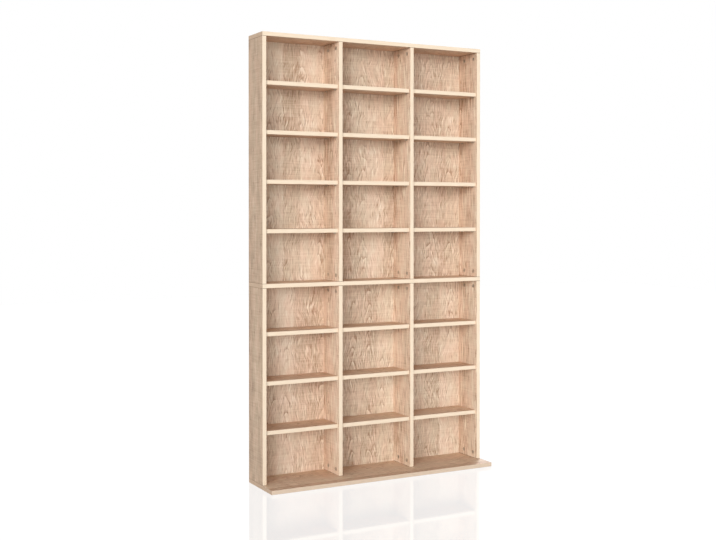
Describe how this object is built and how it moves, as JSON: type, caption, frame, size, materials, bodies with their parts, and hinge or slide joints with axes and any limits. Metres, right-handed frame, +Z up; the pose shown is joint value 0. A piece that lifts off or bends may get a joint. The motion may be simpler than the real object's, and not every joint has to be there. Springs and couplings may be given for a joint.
{
  "type": "media storage tower",
  "caption": "Tall open media tower in pale oak-look board, with columns of loose shelves for disc cases between uprights in two tiers, on a deep base board.",
  "frame": {"origin": "on the floor, in the middle of the footprint of the base and back panels", "axes": "+Z up, -Y out of the open front, +X to the right as seen from the front"},
  "size_m": [1.015, 0.231, 1.78],
  "materials": {
    "oak_board": "pale oak-look foil on chipboard, with cream edging at the front",
    "back_board": "thin fibreboard with oak-look foil on the inside",
    "pin_metal": "dull plated steel",
    "cam_metal": "die-cast zinc, dull",
    "bolt_steel": "zinc-plated steel",
    "dowel_beech": "plain beech"
  },
  "bodies": {
    "carcass": {"base_board": "oak_board", "middle_board": "oak_board", "top_board": "oak_board", "left_side_lower": "oak_board", "left_divider_lower": "oak_board", "right_divider_lower": "oak_board", "right_side_lower": "oak_board", "left_side_upper": "oak_board", "left_divider_upper": "oak_board", "right_divider_upper": "oak_board", "right_side_upper": "oak_board", "back_panel_left_lower": "back_board", "back_panel_centre_lower": "back_board", "back_panel_right_lower": "back_board", "back_panel_left_upper": "back_board", "back_panel_centre_upper": "back_board", "back_panel_right_upper": "back_board", "shelf_pins_left": "pin_metal", "shelf_pins_centre": "pin_metal", "shelf_pins_right": "pin_metal", "cam_locks_lower": "cam_metal", "cam_locks_upper": "cam_metal", "cam_bolts_base": "bolt_steel", "cam_bolts_middle": "bolt_steel", "cam_bolts_top": "bolt_steel", "dowels_base": "dowel_beech", "dowels_middle": "dowel_beech", "dowels_top": "dowel_beech"},
    "shelf_left_1": {"shelf_left_1": "oak_board"},
    "shelf_left_2": {"shelf_left_2": "oak_board"},
    "shelf_left_3": {"shelf_left_3": "oak_board"},
    "shelf_left_4": {"shelf_left_4": "oak_board"},
    "shelf_left_5": {"shelf_left_5": "oak_board"},
    "shelf_left_6": {"shelf_left_6": "oak_board"},
    "shelf_left_7": {"shelf_left_7": "oak_board"},
    "shelf_centre_1": {"shelf_centre_1": "oak_board"},
    "shelf_centre_2": {"shelf_centre_2": "oak_board"},
    "shelf_centre_3": {"shelf_centre_3": "oak_board"},
    "shelf_centre_4": {"shelf_centre_4": "oak_board"},
    "shelf_centre_5": {"shelf_centre_5": "oak_board"},
    "shelf_centre_6": {"shelf_centre_6": "oak_board"},
    "shelf_centre_7": {"shelf_centre_7": "oak_board"},
    "shelf_right_1": {"shelf_right_1": "oak_board"},
    "shelf_right_2": {"shelf_right_2": "oak_board"},
    "shelf_right_3": {"shelf_right_3": "oak_board"},
    "shelf_right_4": {"shelf_right_4": "oak_board"},
    "shelf_right_5": {"shelf_right_5": "oak_board"},
    "shelf_right_6": {"shelf_right_6": "oak_board"},
    "shelf_right_7": {"shelf_right_7": "oak_board"}
  },
  "joints": [
    {"name": "shelf_left_1_slide", "type": "slide", "parent": "carcass", "child": "shelf_left_1", "axis": [0, -1, 0], "range_m": [0, 0.14]},
    {"name": "shelf_left_2_slide", "type": "slide", "parent": "carcass", "child": "shelf_left_2", "axis": [0, -1, 0], "range_m": [0, 0.14]},
    {"name": "shelf_left_3_slide", "type": "slide", "parent": "carcass", "child": "shelf_left_3", "axis": [0, -1, 0], "range_m": [0, 0.14]},
    {"name": "shelf_left_4_slide", "type": "slide", "parent": "carcass", "child": "shelf_left_4", "axis": [0, -1, 0], "range_m": [0, 0.14]},
    {"name": "shelf_left_5_slide", "type": "slide", "parent": "carcass", "child": "shelf_left_5", "axis": [0, -1, 0], "range_m": [0, 0.14]},
    {"name": "shelf_left_6_slide", "type": "slide", "parent": "carcass", "child": "shelf_left_6", "axis": [0, -1, 0], "range_m": [0, 0.14]},
    {"name": "shelf_left_7_slide", "type": "slide", "parent": "carcass", "child": "shelf_left_7", "axis": [0, -1, 0], "range_m": [0, 0.14]},
    {"name": "shelf_centre_1_slide", "type": "slide", "parent": "carcass", "child": "shelf_centre_1", "axis": [0, -1, 0], "range_m": [0, 0.14]},
    {"name": "shelf_centre_2_slide", "type": "slide", "parent": "carcass", "child": "shelf_centre_2", "axis": [0, -1, 0], "range_m": [0, 0.14]},
    {"name": "shelf_centre_3_slide", "type": "slide", "parent": "carcass", "child": "shelf_centre_3", "axis": [0, -1, 0], "range_m": [0, 0.14]},
    {"name": "shelf_centre_4_slide", "type": "slide", "parent": "carcass", "child": "shelf_centre_4", "axis": [0, -1, 0], "range_m": [0, 0.14]},
    {"name": "shelf_centre_5_slide", "type": "slide", "parent": "carcass", "child": "shelf_centre_5", "axis": [0, -1, 0], "range_m": [0, 0.14]},
    {"name": "shelf_centre_6_slide", "type": "slide", "parent": "carcass", "child": "shelf_centre_6", "axis": [0, -1, 0], "range_m": [0, 0.14]},
    {"name": "shelf_centre_7_slide", "type": "slide", "parent": "carcass", "child": "shelf_centre_7", "axis": [0, -1, 0], "range_m": [0, 0.14]},
    {"name": "shelf_right_1_slide", "type": "slide", "parent": "carcass", "child": "shelf_right_1", "axis": [0, -1, 0], "range_m": [0, 0.14]},
    {"name": "shelf_right_2_slide", "type": "slide", "parent": "carcass", "child": "shelf_right_2", "axis": [0, -1, 0], "range_m": [0, 0.14]},
    {"name": "shelf_right_3_slide", "type": "slide", "parent": "carcass", "child": "shelf_right_3", "axis": [0, -1, 0], "range_m": [0, 0.14]},
    {"name": "shelf_right_4_slide", "type": "slide", "parent": "carcass", "child": "shelf_right_4", "axis": [0, -1, 0], "range_m": [0, 0.14]},
    {"name": "shelf_right_5_slide", "type": "slide", "parent": "carcass", "child": "shelf_right_5", "axis": [0, -1, 0], "range_m": [0, 0.14]},
    {"name": "shelf_right_6_slide", "type": "slide", "parent": "carcass", "child": "shelf_right_6", "axis": [0, -1, 0], "range_m": [0, 0.14]},
    {"name": "shelf_right_7_slide", "type": "slide", "parent": "carcass", "child": "shelf_right_7", "axis": [0, -1, 0], "range_m": [0, 0.14]}
  ]
}
